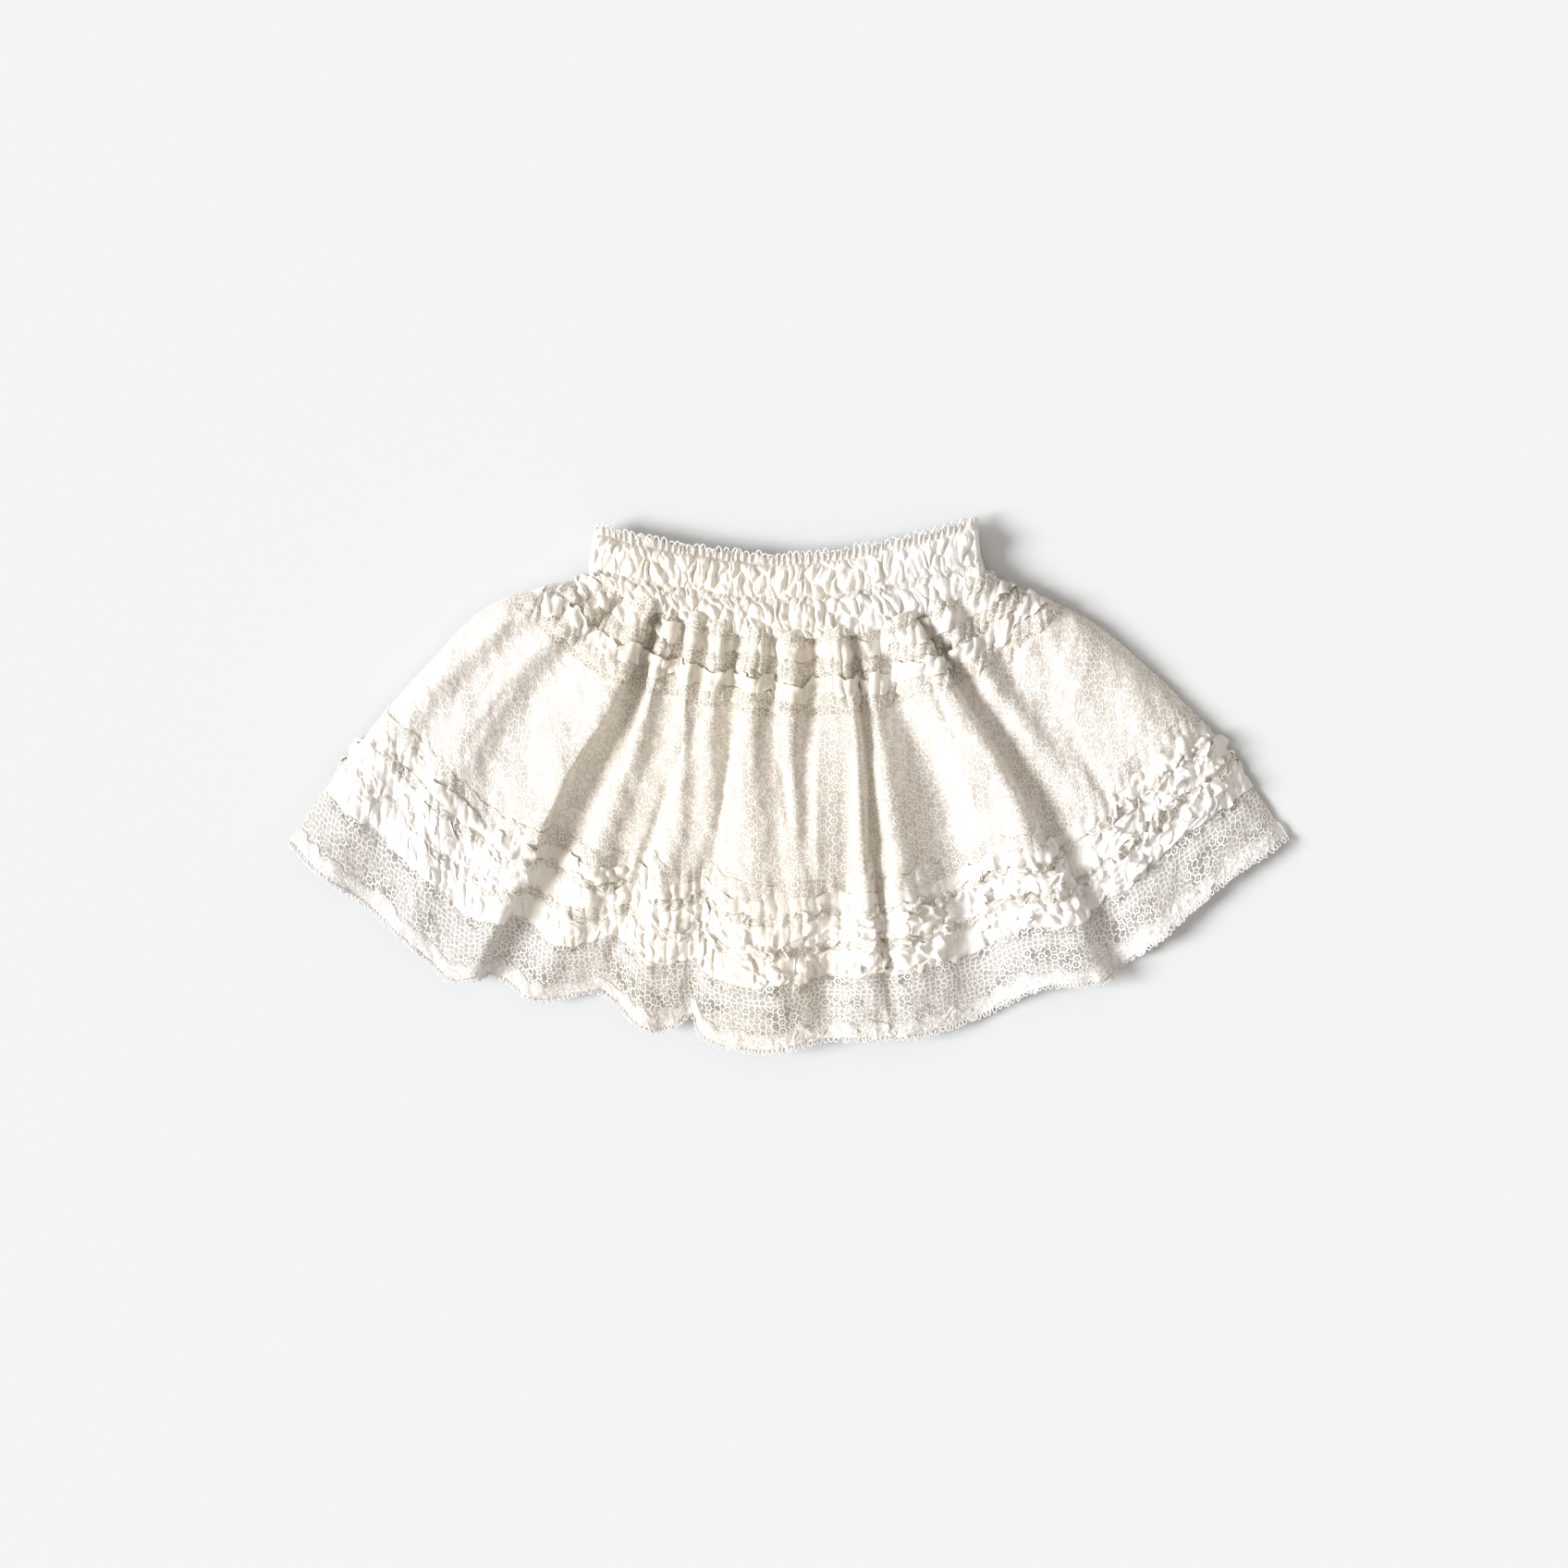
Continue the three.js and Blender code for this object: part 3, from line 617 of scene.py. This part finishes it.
def satin(name, colour, weave, rough=0.42):
    """Smooth ribbon with fine cross threads, weave apart, and soft small puckers."""
    n = Nodes(name)
    u, v = cloth_place(n)
    thread = n.math("SINE", n.math("MULTIPLY", u, 2 * math.pi / weave))
    pucker = n.noise(u, v, 1.7, 5.0, detail=3.0)
    raised = n.math("ADD", n.math("MULTIPLY", thread, 0.12), n.math("MULTIPLY", pucker, 0.9))
    # The ribbon's colour takes the painted warm glow of the skirt's middle, with a random tone.
    base = toned_with_painted_glow(n, u, v, colour)
    return finish_cloth(n, base, raised, None, SATIN_THROUGH, rough, 0.3, SATIN_RELIEF)


def floor_material():
    n = Nodes("floor")
    place = n.add("ShaderNodeTexCoord").outputs["Object"]
    grain = n.add("ShaderNodeTexNoise", {"Vector": place, "Scale": 900.0}).outputs["Fac"]
    normal = n.add("ShaderNodeBump", {"Height": grain, "Strength": 0.05, "Distance": 0.0002}).outputs[0]
    inputs = {"Base Color": FLOOR_COLOUR, "Roughness": 0.9, "Specular IOR Level": 0.1, "Normal": normal}
    surface = n.add("ShaderNodeBsdfPrincipled", inputs).outputs[0]
    n.tree.links.new(surface, n.add("ShaderNodeOutputMaterial").inputs[0])
    return n.material


# The studio


def make_studio():
    camera = bpy.data.objects.new("camera", bpy.data.cameras.new("camera"))
    bpy.context.collection.objects.link(camera)
    camera.location = (*PHOTO_MIDDLE, CAMERA_HEIGHT + CLOTH_HEIGHT)
    camera.data.sensor_width = SENSOR_WIDTH
    camera.data.lens = SENSOR_WIDTH * CAMERA_HEIGHT / PHOTO_WIDTH
    bpy.context.scene.camera = camera

    sun = bpy.data.objects.new("key", bpy.data.lights.new("key", "SUN"))
    bpy.context.collection.objects.link(sun)
    sun.data.energy = SUN_STRENGTH
    sun.data.angle = math.radians(SUN_SPREAD)
    sun.data.color = SUN_COLOUR
    azimuth, elevation = math.radians(SUN_AZIMUTH), math.radians(SUN_ELEVATION)
    direction = (
        -math.cos(azimuth) * math.cos(elevation),
        -math.sin(azimuth) * math.cos(elevation),
        -math.sin(elevation),
    )
    sun.rotation_euler = Vector(direction).to_track_quat("-Z", "Y").to_euler()

    world = bpy.data.worlds.new("studio")
    bpy.context.scene.world = world
    world.use_nodes = True
    sky = world.node_tree.nodes["Background"]
    sky.inputs["Color"].default_value = SKY_COLOUR
    sky.inputs["Strength"].default_value = SKY_STRENGTH

    mesh = bpy.data.meshes.new("floor")
    corners = [(x * FLOOR_HALF, y * FLOOR_HALF, 0) for x, y in ((-1, -1), (1, -1), (1, 1), (-1, 1))]
    mesh.from_pydata(corners, [], [(0, 1, 2, 3)])
    mesh.materials.append(floor_material())
    floor = bpy.data.objects.new("floor", mesh)
    bpy.context.collection.objects.link(floor)

    view = bpy.context.scene.view_settings
    view.view_transform = "Standard"
    view.look = "None"


# The skirt's pieces


def make_front():
    """The gathered lace of the front, in the four stretches that are sewn together. Each row gives a
    stretch's name, where it starts and ends as shares of the length, its rows and its columns."""
    top_rows = rows_of((0, 4.5), (14, 22.5), (32.5, 41))
    top_lace = lace("upper lace", IVORY, top_rows, pitch=4.6, gaps=0.34, warm=1.6)
    body_lace = lace("allover lace", IVORY, trellis, gaps=0.24, opening=0.16)
    low_lace = lace("lower lace", IVORY, rows_of((124, 132), (139.5, 145), (155.5, 162)), pitch=4.6)
    hem_rows = rows_of((173, 180), (186, 199), patches=0.7)
    hem_lace = lace("hem lace", WHITE_LACE, hem_rows, ground=net, gaps=0.46, opening=0.6, warm=0.4)
    stretches = (
        ("front_upper_lace", 0, 0.2, 44, 460, top_lace),
        ("front_lace", 0.2, 0.6, 84, 560, body_lace),
        ("front_lower_lace", 0.6, 0.845, 52, 560, low_lace),
        ("front_hem_lace", 0.845, 1, 36, 600, hem_lace),
    )
    for name, low, high, rows, count, material in stretches:
        points, _, u, v = front(count, np.linspace(low, high, rows))
        sheet_piece(name, points, u, v, material, "lace", ("skirt_front",))


def ribbon_points(low, high, rows, count, lift, puff, spikes=0.0):
    """A strip on the front. puff takes the lengths across and down and the share of the strip's
    width, and gives how far each point goes out, down the cloth and across it. spikes is how far
    points of the strip's two ends stand out sideways."""
    shares = np.linspace(low, high, rows)
    points, out, u, v = front(count, shares, lift)
    across = np.broadcast_to(np.linspace(0, 1, rows)[:, None], u.shape)
    rise, slip, sway = puff(u, v, across)
    slip = slip + 3.2 * noise(u / 9, 0 * u, 77) * (1 - smooth(38, 50, v)) * smooth(4, 12, v)
    room = smooth(LOWEST + 0.3, LOWEST + 5, points[..., 2])
    down_way = np.gradient(points, axis=0)
    down_way /= np.linalg.norm(down_way, axis=-1, keepdims=True)
    cross_way = np.gradient(points, axis=1)
    cross_way /= np.linalg.norm(cross_way, axis=-1, keepdims=True)
    moved = points + out * (rise * (0.35 + 0.65 * room))[..., None]
    moved += down_way * slip[..., None] + cross_way * sway[..., None]
    for end, way in ((0, -1), (-1, 1)):
        near = np.exp(-np.abs(u - u[:, end : end + 1 or None]) / 2.5)
        moved += cross_way * (way * spikes * near * np.maximum(0, noise(v / 3.2, 0 * v, 9)))[..., None]
    moved[..., 2] = np.maximum(moved[..., 2], LOWEST + 0.4)
    return moved, u, v


def flat_ribbon(seed, curl=0.6):
    """A satin ribbon with a few soft dents and wavy edges that curl up."""

    def puff(u, v, across):
        edge = (2 * across - 1) ** 3
        soft = noise(u / 6, v / 5, seed) + 0.5 * noise(u / 2.6, v / 4, seed + 4)
        ruffled = 0.9 + 1.3 * smooth(50, 100, np.abs(u))
        rise = 0.3 + ruffled * np.maximum(soft, -0.3) + 0.25 * np.sin(np.pi * across)
        rise += curl * np.abs(edge) * (1 + noise(u / 3, v / 5, seed + 1))
        slip = 1.5 * noise(u / 7, 0 * u, seed + 3) + 2 * curl * edge * noise(u / 3.4, 0 * u, seed + 2)
        return rise, slip, 0.5 * noise(u / 4, v / 4, seed + 5)

    return puff


def lace_frill(seed, wave, height, lift, free_top=True):
    """A lace edging that stands up in small waves between its sewn side and its low free edge."""

    def puff(u, v, across):
        free = 1 - across if free_top else across
        phase = u / wave + 1.1 * noise(u / 12, v / 30, seed)
        turn = 0.35 * np.sin(2 * np.pi * phase) + 0.9 * noise(u / 4.5, v / 5, seed + 3)
        rise = 0.3 + free * (lift + height * turn * (0.6 + 0.4 * noise(u / 7, 0 * u, seed + 1)))
        slip = -1.8 * free * (0.4 + noise(u / 4, 0 * u, seed + 2)) * (1 if free_top else -1)
        sway = 0.7 * free * noise(u / 4, v / 4, seed + 4)
        return np.maximum(rise * (1 - free**4), 0.05), slip, sway

    return puff


def ruche(seed, puff_size, height):
    """A strip drawn up into uneven puffs with sharp creases and points between them."""

    def puff(u, v, across):
        x = u / puff_size + 0.45 * noise(u / 6, v / 6, seed)
        y = v / (puff_size * 1.15) + 0.45 * noise(u / 6, v / 6, seed + 1)
        rim, own = cells(x, y, seed + 2)
        swollen = smooth(0, 1.1, rim) * (0.25 + 0.75 * own)
        firm = 0.4 + 1.0 * smooth(-140, 120, u)
        often = 0.2 + 0.8 * smooth(-0.1, 0.5, noise(u / 9, v / 9, seed + 6))
        point = (1 - np.abs(noise(u / 5.5, v / 5.5, seed + 5))) ** 5 * often
        off = np.abs(2 * across - 1 + 0.25 * noise(u / 4, 0 * u, seed + 7))
        stitch = np.clip(1 - off**4, 0, 1) ** 0.5
        rise = 0.2 + height * firm * (0.75 * swollen + 0.8 * point) * (0.06 + 0.94 * stitch)
        slip = 2.2 * noise(u / 5, v / 8, seed + 8)
        sway = 1.5 * noise(u / 4, v / 4, seed + 9)
        return rise, slip, sway

    return puff


def make_trims():
    """The ribbons, frills and ruched bands that are sewn on the front."""
    crown = lace("crown lace", IVORY, rows_of((-4, 45)), pitch=4.4, gaps=0.26, warm=1.2)
    ribbon = satin("ribbon satin", RIBBON, 0.7)
    ruched = satin("ruched satin", SATIN, 0.8, rough=0.46)
    frill = lace("frill lace", IVORY, rows_of((118, 165), patches=0.8), pitch=4.4)
    edging = lace("edging lace", WHITE_LACE, rows_of((197.5, 200)), pitch=3.6, gaps=0.22, warm=0.3)
    for i, (low, high) in enumerate(UPPER_RIBBONS):
        shape = ribbon_points(low, high, 12, 620, 0.5, flat_ribbon(20 + 7 * i))
        sheet_piece(f"upper_ribbon_{i + 1}_satin", *shape, ribbon, "ribbon", (f"upper_ribbon_{i + 1}",))
    shape = ribbon_points(*UPPER_FRILL, 12, 900, 0.7, lace_frill(31, 4.2, 1.3, 1.6))
    sheet_piece("upper_frill_lace", *shape, crown, "lace")
    for i, (low, high) in enumerate(UPPER_EDGINGS):
        shape = ribbon_points(low, high, 12, 800, 0.5, lace_frill(61 + i, 4.4, 0.9, 0.4, False))
        sheet_piece(f"upper_edging_{i + 1}", *shape, crown, "lace")
    shape = ribbon_points(*LOWER_FRILL, 16, 1000, 0.4, lace_frill(41, 8.5, 0.6, 0.1))
    sheet_piece("lower_frill_lace", *shape, frill, "lace", ("lower_frill",))
    shape = ribbon_points(*LOWER_RIBBON, 10, 700, 0.5, flat_ribbon(51, curl=0.1))
    sheet_piece("lower_ribbon_satin", *shape, ribbon, "ribbon", ("lower_ribbon",))
    for i, (low, high) in enumerate(RUCHED):
        shape = ribbon_points(low, high, 30, 1300, 0.4, ruche(71 + 11 * i, 7.5, 4.4), 4.0)
        sheet_piece(f"ruched_band_{i + 1}", *shape, ruched, "ribbon", (f"ruched_ribbon_{i + 1}",))
    for i, (low, high) in enumerate(RUCHED_LACE):
        shape = ribbon_points(low, high, 20, 1000, 0.3, ruche(91 + 5 * i, 6.0, 4.2), 3.0)
        sheet_piece(f"ruched_lace_{i + 1}", *shape, frill, "lace")
    shape = ribbon_points(*HEM_EDGING, 14, 1000, 0.3, ruche(81, 2.6, 0.9))
    sheet_piece("hem_edging_lace", *shape, edging, "lace", ("hem_edging",))


def waist_top(share, inset=0.0):
    """The casing's upper edge in plan, at a share of the way across."""
    across = 2 * share - 1
    rise = WAIST_RISE * np.abs(across) ** 1.6 + WAIST_TILT * across
    return np.stack([WAIST_MIDDLE + (WAIST_HALF - inset) * across, WAIST_TOP + rise], axis=-1)


def waist_fold(share, inset=0.0):
    """Where the casing meets the frill."""
    top = waist_top(share, inset)
    part = CASING / (WAIST_TOP - (FAN_Y - SEAM_RADIUS))
    return top + np.stack([(2 * share - 1) * WAIST_FLARE * part, 0 * share - CASING], axis=-1)


def waist_seam(share, inset=0.0):
    """Where the frill meets the front."""
    angle = ANGLES[0, 0] + share * (ANGLES[-1, 0] - ANGLES[0, 0])
    at = fan_point(angle, seam_radius(angle), 0 * angle)[..., :2]
    at[..., 0] -= (2 * share - 1) * inset
    return at


def gathered_strip(upper, lower, rows, count, base, profile, gather):
    """A strip of the waist between two edges in plan. profile gives the height without gathers at
    a share of the way down, and gather moves each point up, down and across."""
    share = np.linspace(0, 1, count)
    down = np.linspace(0, 1, rows)[:, None]
    top, bottom = upper(share), lower(share)
    plan = top[None] * (1 - down[..., None]) + bottom[None] * down[..., None]
    u = np.broadcast_to(((share - 0.5) * 2 * WAIST_HALF)[None], (rows, count))
    v = down * np.linalg.norm(top - bottom, axis=-1)[None]
    drop = 2 * smooth(0.7, 1, np.abs(2 * share - 1))[None]
    rise, slip, sway = gather(u, v, np.broadcast_to(down, u.shape))
    end = smooth(0, 0.012, share) * smooth(0, 0.012, 1 - share)
    height = base - drop + (profile(down) + rise) * (0.25 + 0.75 * end[None])
    points = np.stack([plan[..., 0] + sway, plan[..., 1] - slip, height], axis=-1)
    return points, u * WAIST_DRAWN_UP, v


def puffs(seed, height, pinch=0.55):
    """Rounded upright gathers with sharp creases between them, tighter at the stitched edges."""

    def gather(u, v, down):
        bend = 0.42 * noise(u / 11, v / 10, seed) + 0.2 * noise(u / 4.5, v / 6, seed + 1)
        x = u / PUFF_PITCH + bend
        rim, own = cells(x, v / 11.5 + 0.35 * noise(u / 5, v / 6, seed + 2), seed + 3)
        swollen = smooth(0, 0.55, rim) ** 0.7 * (0.35 + 0.65 * own)
        fine = np.abs(np.sin(np.pi * (1.4 * x + 0.5 * noise(u / 5, v / 4, seed + 4)))) ** 0.7
        edge = np.abs(2 * down - 1) ** 3
        rise = height * (0.25 + 0.9 * swollen) * (1 - pinch * edge) + 1.1 * fine * (0.35 + 0.65 * edge)
        rise += 0.6 * noise(u / 3.1, v / 4.5, seed + 5)
        slip = (1.1 - 0.5 * edge) * noise(u / 5, v / 7, seed + 6)
        sway = 0.5 * noise(u / 5, v / 8, seed + 7)
        return rise, slip, sway

    return gather


def heading_gather(seed, height):
    """The heading's small waves, which grow towards its free upper edge."""

    def gather(u, v, down):
        free = 1 - down
        phase = u / 3.3 + 0.8 * noise(u / 8, 0 * u, seed)
        rise = free * (0.8 + height * np.sin(2 * np.pi * phase)) + 0.4 * noise(u / 2, v / 2, seed + 1)
        slip = -free * 1.1 * noise(u / 2.6, 0 * u, seed + 2)
        sway = free * 0.8 * np.cos(2 * np.pi * phase)
        return rise, slip, sway

    return gather


def arch(height, power, base=0.6):
    """A strip's height at a share of the way down it: round, and low at both edges."""

    def profile(down):
        return base + height * np.clip(1 - np.abs(2 * down - 1) ** power, 0, 1) ** 0.55

    return profile


def slope(high, low):
    return lambda down: high + (low - high) * down


def moved_up(edge, rise, inset=0.0):
    """An edge of the waist, moved up in plan."""
    return lambda share: edge(share, inset) + np.array([0, rise])


def make_waist():
    """The casing, the frill under it and the headings, front and back."""
    cloth = satin("waist cloth", SATIN, 0.9, rough=0.55)
    crown = lace("waist lace", IVORY, rows_of((-4, 10)), pitch=3.6, gaps=0.16, warm=0.5)

    def strip(name, upper, lower, rows, count, base, profile, gather, material, slot, nodes):
        shape = gathered_strip(upper, lower, rows, count, base, profile, gather)
        sheet_piece(name, *shape, material, slot, nodes)

    strip("waist_casing", waist_top, waist_fold, 44, 1100, FRONT_BASE, arch(4.6, 3, 0.9),
          puffs(101, 3.4), cloth, "casing", ("waist_casing_front",))
    strip("waist_frill", waist_fold, moved_up(waist_seam, -2.2), 38, 1100, FRONT_BASE, arch(5.2, 2.6),
          puffs(121, 3.6, 0.25), cloth, "casing", ("waist_frill_front",))
    strip("waist_heading", moved_up(waist_top, HEADING), moved_up(waist_top, -1.6), 11, 1100, FRONT_BASE,
          slope(2.4, 3.6), heading_gather(141, 1.2), crown, "lace", ("heading_front",))
    strip("waist_edging", moved_up(waist_fold, 3.2), moved_up(waist_fold, -3.4), 12, 1100, FRONT_BASE,
          arch(3.4, 2, 1.6), puffs(151, 2.2, 0.3), crown, "lace", ())
    back_top, back_seam = moved_up(waist_top, 0, BACK_INSET), moved_up(waist_seam, 0, BACK_INSET)
    profile, gather = arch(5, 3, 1.2), puffs(161, 1.4)
    points, u, v = gathered_strip(back_top, back_seam, 40, 700, BACK_BASE, profile, gather)
    points[..., 2] = np.clip(points[..., 2], 0.6, WAIST_BACK_TOP)
    sheet_piece("waist_back_casing", points, u, v, cloth, "casing", ("waist_back",))
    back_tip = moved_up(waist_top, HEADING * 0.6, BACK_INSET)
    strip("waist_back_heading", back_tip, back_top, 7, 700, BACK_BASE, slope(2.4, 1.4),
          heading_gather(171, 0.8), crown, "lace", ("heading_back",))


def make_back():
    """The back, flat on the floor inside the front's outline."""
    cloth = lace("back lace", IVORY, trellis)
    lines = np.linspace(0, len(FOLDS) - 1, 260)
    bands = (
        ("back_upper_lace", 0, 0.155, "back_upper_band"),
        ("back_lace", 0.155, 0.61, "skirt_back"),
        ("back_lower_lace", 0.61, 0.84, "back_lower_band"),
        ("back_hem_lace", 0.84, 0.97, "back_hem_band"),
    )
    for name, low, high, node in bands:
        rows = max(10, int((high - low) * 110))
        points = plain_front(lines, np.linspace(low, high, rows))
        u = cloth_lengths(points)
        v = np.broadcast_to((np.linspace(low, high, rows) * SKIRT_LENGTH)[:, None], u.shape)
        points[..., 2] = 1.0 + 0.3 * noise(u / 11, v / 14, 5)
        sheet_piece(name, points, u, v, cloth, "lace", (node,))


def edge_loops(name, points, outward, pitch, size, thread, material, seed):
    """Picot loops along a row of points."""
    steps = np.linalg.norm(np.diff(points, axis=0), axis=-1)
    run = np.concatenate([[0], np.cumsum(steps)])
    count = int(run[-1] / pitch)
    at = (np.arange(count) + 0.5) * pitch + 0.5 * pitch * noise(np.arange(count) * 0.73, 0.0, seed)

    def pick(field):
        return np.stack([np.interp(at, run, field[:, k]) for k in range(3)], axis=-1)

    centres, out = pick(points), pick(outward)
    out += 0.35 * np.stack([noise(at / 2.1, k, seed + 1) for k in (0.3, 5.3, 9.3)], axis=-1)
    out /= np.linalg.norm(out, axis=-1, keepdims=True)
    flow = pick(np.gradient(points, axis=0))
    flow /= np.linalg.norm(flow, axis=-1, keepdims=True)
    up = np.cross(flow, out)
    up /= np.linalg.norm(up, axis=-1, keepdims=True)
    up *= np.sign(up[:, 2:3] + 1e-6)
    length = size[1] * (0.55 + 0.75 * hashed(np.arange(count), np.zeros(count), seed + 2))
    loops_piece(name, centres, flow, out, up, (size[0], length), thread, material)


def make_loops():
    """The rows of picots at the hem and along the heading."""
    n = Nodes("thread")
    place = n.add("ShaderNodeTexCoord").outputs["Object"]
    twist = n.add("ShaderNodeTexNoise", {"Vector": place, "Scale": 2500.0}).outputs["Fac"]
    thread = finish_cloth(n, WHITE_LACE, twist, None, THREAD_THROUGH, 0.8, 0.2, THREAD_RELIEF)

    points = front(1000, np.array([0.985, 1.0]), 0.9)[0]
    outward = points[1] - points[0]
    edge_loops("hem_picots", points[1], outward, 2.6, (1.0, 1.5), 0.28, thread, 201)

    share = np.linspace(0, 1, 900)
    top = waist_top(share)
    rise = FRONT_BASE + 3.0 - 2 * smooth(0.7, 1, np.abs(2 * share - 1))
    line = np.stack([top[:, 0], top[:, 1] + HEADING - 1.2, rise], axis=-1)
    up_way = np.broadcast_to(np.array([0.0, 1.0, 0.25]), line.shape)
    edge_loops("heading_picots", line, up_way, 3.2, (1.5, 3.0), 0.42, thread, 211)


make_studio()
make_front()
make_trims()
make_waist()
make_back()
make_loops()
